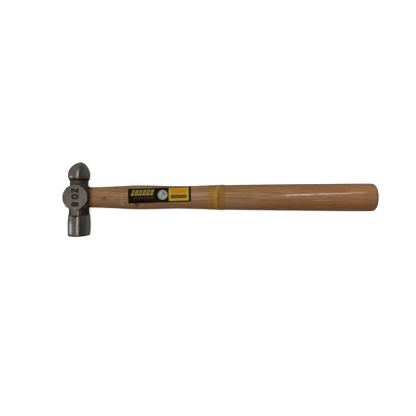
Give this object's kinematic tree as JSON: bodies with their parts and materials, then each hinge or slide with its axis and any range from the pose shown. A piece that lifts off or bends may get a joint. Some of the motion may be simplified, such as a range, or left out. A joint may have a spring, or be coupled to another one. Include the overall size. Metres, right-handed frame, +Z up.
{
  "type": "ball peen hammer",
  "caption": "Small ball peen hammer: forged steel head with a domed peen and a round poll, on a wedged oval hardwood handle with a label and a band of tape.",
  "frame": {"origin": "centre of the lower cheek of the head, on the surface that the hammer lies on", "axes": "+X along the handle from the head to the butt, +Y from the eye to the ball peen, +Z up out of the upper cheek"},
  "size_m": [0.3247, 0.0776, 0.024],
  "materials": {
    "head_steel": "satin ground steel with black forge scale left in the necks",
    "handle_wood": "varnished hardwood, grain along the handle",
    "wedge_wood": "bare softwood end grain",
    "wedge_steel": "dull mild steel, hammered flush",
    "label_print": "printed film label, black with yellow and orange panels",
    "tape_film": "clear adhesive tape, yellowed with age"
  },
  "bodies": {
    "root": {"hammer_head": "head_steel", "handle": "handle_wood", "wood_wedge": "wedge_wood", "steel_wedge": "wedge_steel", "label": "label_print", "tape_band": "tape_film"}
  },
  "joints": []
}
